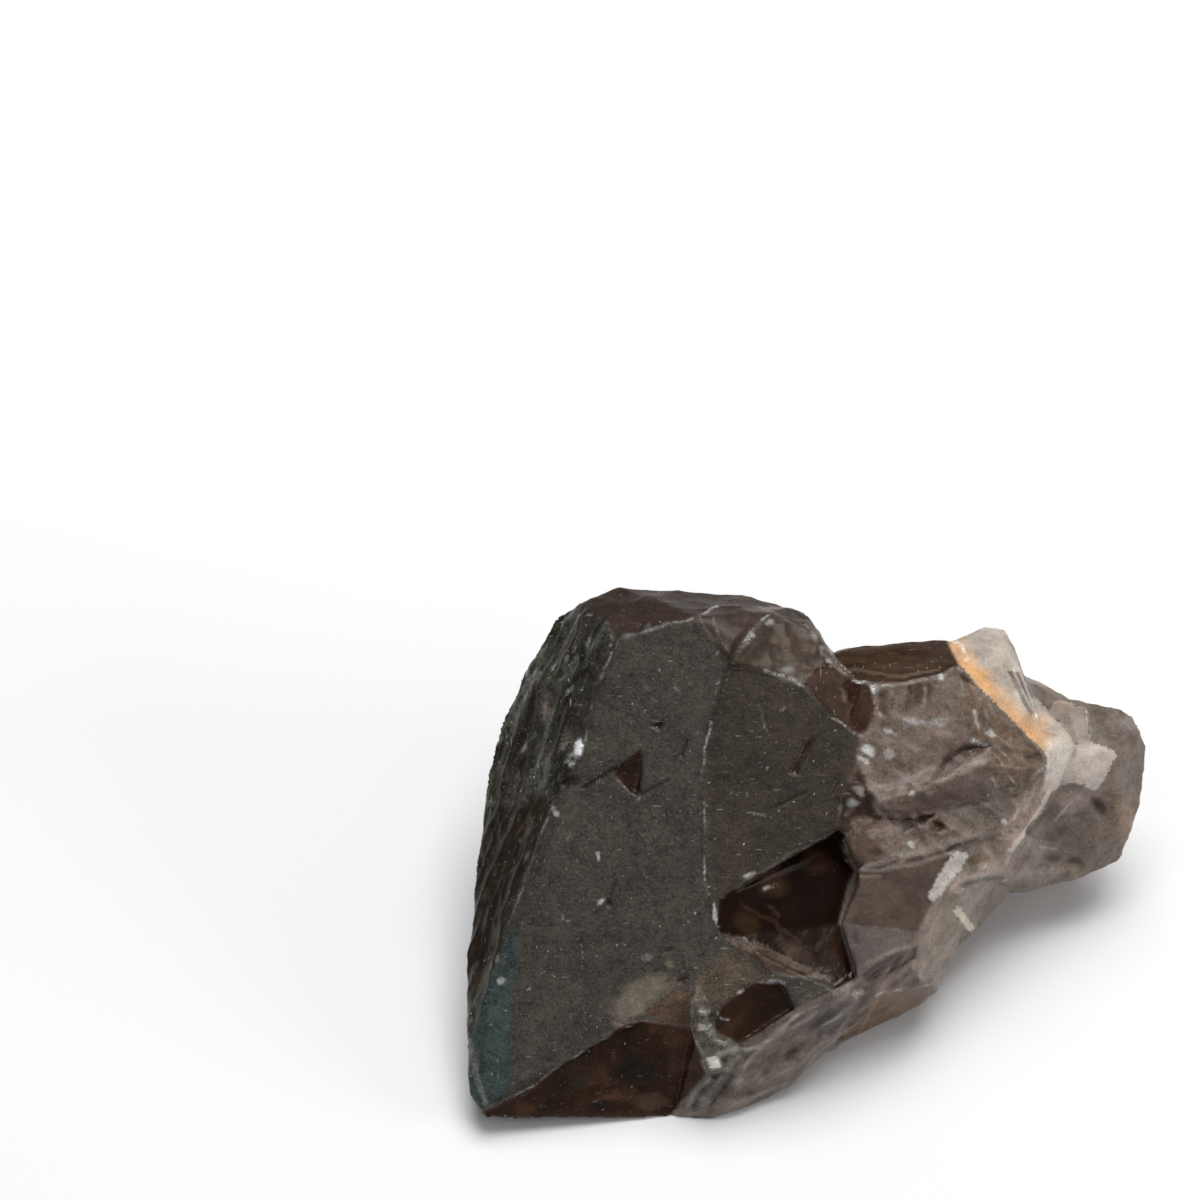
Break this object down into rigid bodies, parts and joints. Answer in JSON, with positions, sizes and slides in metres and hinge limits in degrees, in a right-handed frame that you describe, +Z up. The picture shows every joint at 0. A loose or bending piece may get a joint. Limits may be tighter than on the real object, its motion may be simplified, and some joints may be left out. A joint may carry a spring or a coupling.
{
  "type": "rough chevron amethyst",
  "caption": "Rough smoky quartz point with flat crystal faces, a broken-out notch and a V-shaped pale band at its root, lying on a flat side.",
  "frame": {"origin": "centre of the bounding box, on the ground that the stone rests on", "axes": "+Z up; +X to the viewer's right, from the crystal's tip end to its broken root; -Y towards the viewer"},
  "size_m": [0.0684, 0.0486, 0.0306],
  "materials": {
    "smoky_quartz": "translucent dark smoky quartz with a satin film, glossy breaks and a cream and orange band"
  },
  "bodies": {
    "root": {"amethyst_point": "smoky_quartz"}
  },
  "joints": []
}
